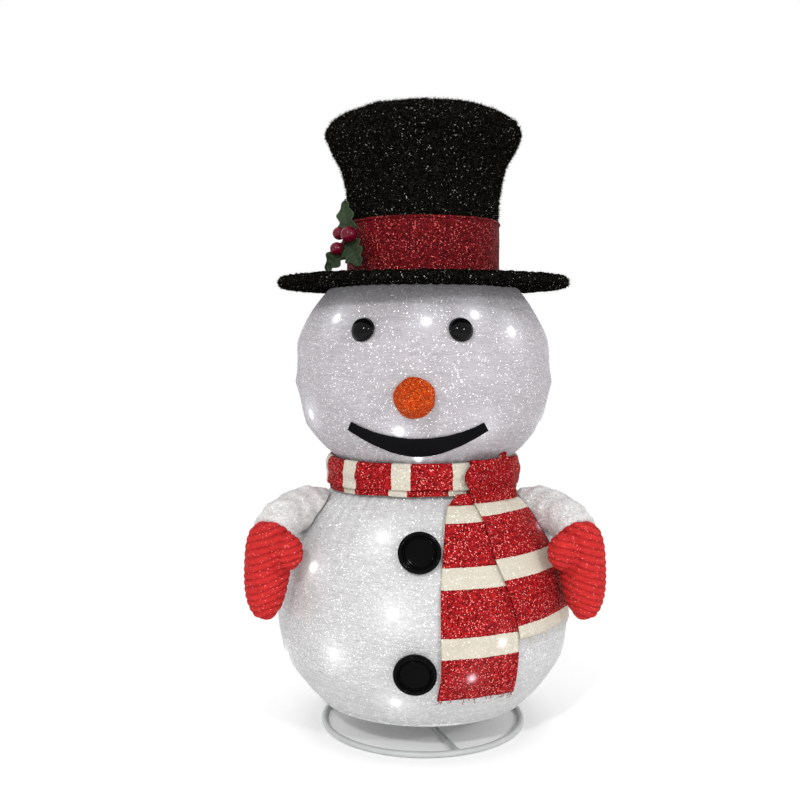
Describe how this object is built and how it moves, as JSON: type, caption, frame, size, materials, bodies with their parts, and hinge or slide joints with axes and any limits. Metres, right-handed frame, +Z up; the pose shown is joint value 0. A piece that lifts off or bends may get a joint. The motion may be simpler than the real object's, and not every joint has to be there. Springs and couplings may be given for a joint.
{
  "type": "collapsible lighted snowman decoration",
  "caption": "Pop-up lighted snowman: translucent cloth body over wire hoops on a telescopic pole, with top hat, scarf, mittens and a wire floor ring.",
  "frame": {"origin": "on the floor, on the pole's axis, at the flat underside of the base bar", "axes": "+Z up along the pole, -Y out of the face, +X to the figure's own left"},
  "size_m": [0.3317, 0.3073, 0.6145],
  "materials": {
    "skin_fabric": "translucent white glitter cloth",
    "hat_fabric": "black tinsel cloth",
    "band_fabric": "red glitter ribbon",
    "scarf_fabric": "red and cream striped glitter cloth",
    "mitten_knit": "red ribbed knit with glitter",
    "nose_fabric": "orange glitter cloth",
    "felt": "black felt",
    "black_plastic": "glossy black",
    "white_plastic": "satin white",
    "white_enamel": "white enamel",
    "steel_wire": "plain drawn wire",
    "clear_lead": "clear plastic over tinned wire",
    "leaf_plastic": "waxy green",
    "berry_plastic": "glossy dark red",
    "cell_label": "plain printed sleeve"
  },
  "bodies": {
    "base": {"base_ring": "white_enamel", "base_bar": "white_enamel", "pole_socket": "white_enamel", "lower_pole": "white_enamel", "lower_pole_bush": "black_plastic", "bottom_frame": "steel_wire", "battery_box": "white_plastic", "battery_cell_1": "cell_label", "battery_cell_2": "cell_label", "torso_lead": "clear_lead", "torso_skin": "skin_fabric", "scarf_front_tail": "scarf_fabric", "scarf_side_tail": "scarf_fabric"},
    "torso_low": {"torso_hoop_low": "steel_wire", "torso_led_loop_low": "clear_lead", "lower_button": "black_plastic", "lower_button_washer": "white_plastic"},
    "torso_mid": {"torso_hoop_mid": "steel_wire", "torso_led_loop_mid": "clear_lead"},
    "torso_high": {"torso_hoop_high": "steel_wire", "torso_led_loop_high": "clear_lead", "upper_button": "black_plastic", "upper_button_washer": "white_plastic"},
    "left_arm": {"left_sleeve": "skin_fabric", "left_mitten": "mitten_knit"},
    "right_arm": {"right_sleeve": "skin_fabric", "right_mitten": "mitten_knit"},
    "neck": {"mouth": "felt", "mid_pole": "white_enamel", "mid_pole_bush": "black_plastic", "neck_frame": "steel_wire", "head_skin": "skin_fabric", "head_lead": "clear_lead", "scarf_collar": "scarf_fabric", "scarf_knot": "scarf_fabric"},
    "head_low": {"head_hoop_low": "steel_wire", "head_led_loop_low": "clear_lead"},
    "head_mid": {"head_hoop_mid": "steel_wire", "nose": "nose_fabric"},
    "head_high": {"head_hoop_high": "steel_wire", "head_led_loop_high": "clear_lead", "left_eye": "black_plastic", "left_eye_washer": "white_plastic", "right_eye": "black_plastic", "right_eye_washer": "white_plastic"},
    "hat": {"brim_frame": "steel_wire", "brim_underside": "hat_fabric", "brim_hoop": "steel_wire", "brim_top": "hat_fabric", "crown_wall": "hat_fabric", "hat_band": "band_fabric", "holly_leaves": "leaf_plastic", "holly_berries": "berry_plastic"},
    "crown_top": {"crown_frame": "steel_wire", "crown_lid": "hat_fabric", "tip_pole": "white_enamel"},
    "lid": {"battery_lid": "white_plastic"},
    "switch": {"power_switch": "black_plastic"}
  },
  "joints": [
    {"name": "torso_collapse", "type": "slide", "parent": "base", "child": "neck", "axis": [0, 0, -1], "range_m": [0, 0.1], "deforming": ["torso_skin", "torso_lead", "scarf_front_tail", "scarf_side_tail", "left_sleeve", "right_sleeve"]},
    {"name": "torso_low_drop", "type": "slide", "parent": "base", "child": "torso_low", "axis": [0, 0, -1], "range_m": [0, 0.0241]},
    {"name": "torso_mid_drop", "type": "slide", "parent": "base", "child": "torso_mid", "axis": [0, 0, -1], "range_m": [0, 0.0453]},
    {"name": "torso_high_drop", "type": "slide", "parent": "base", "child": "torso_high", "axis": [0, 0, -1], "range_m": [0, 0.0666]},
    {"name": "head_collapse", "type": "slide", "parent": "neck", "child": "hat", "axis": [0, 0, -1], "range_m": [0, 0.1], "deforming": ["head_skin", "head_lead", "mouth", "scarf_collar", "scarf_knot"]},
    {"name": "head_low_drop", "type": "slide", "parent": "neck", "child": "head_low", "axis": [0, 0, -1], "range_m": [0, 0.0286]},
    {"name": "head_mid_drop", "type": "slide", "parent": "neck", "child": "head_mid", "axis": [0, 0, -1], "range_m": [0, 0.0517]},
    {"name": "head_high_drop", "type": "slide", "parent": "neck", "child": "head_high", "axis": [0, 0, -1], "range_m": [0, 0.0726]},
    {"name": "crown_press", "type": "slide", "parent": "hat", "child": "crown_top", "axis": [0, 0, -1], "range_m": [0, 0.055], "deforming": ["crown_wall"]},
    {"name": "left_arm_swing", "type": "hinge", "parent": "torso_high", "child": "left_arm", "pos_m": [0.1, -0.02, 0.226], "axis": [0, -1, 0], "range_deg": [0, 70]},
    {"name": "right_arm_swing", "type": "hinge", "parent": "torso_high", "child": "right_arm", "pos_m": [-0.1, -0.02, 0.226], "axis": [0, 1, 0], "range_deg": [0, 70]},
    {"name": "battery_lid_slide", "type": "slide", "parent": "base", "child": "lid", "axis": [-1, 0, 0], "range_m": [0, 0.038]},
    {"name": "power_switch_slide", "type": "slide", "parent": "base", "child": "switch", "axis": [0, 0, 1], "range_m": [0, 0.0035]}
  ],
  "couplings": [
    {"joint": "torso_low_drop", "follows": "torso_collapse", "ratio": 0.2308},
    {"joint": "torso_mid_drop", "follows": "torso_collapse", "ratio": 0.4434},
    {"joint": "torso_high_drop", "follows": "torso_collapse", "ratio": 0.6561},
    {"joint": "head_low_drop", "follows": "head_collapse", "ratio": 0.2755},
    {"joint": "head_mid_drop", "follows": "head_collapse", "ratio": 0.5069},
    {"joint": "head_high_drop", "follows": "head_collapse", "ratio": 0.7163}
  ]
}
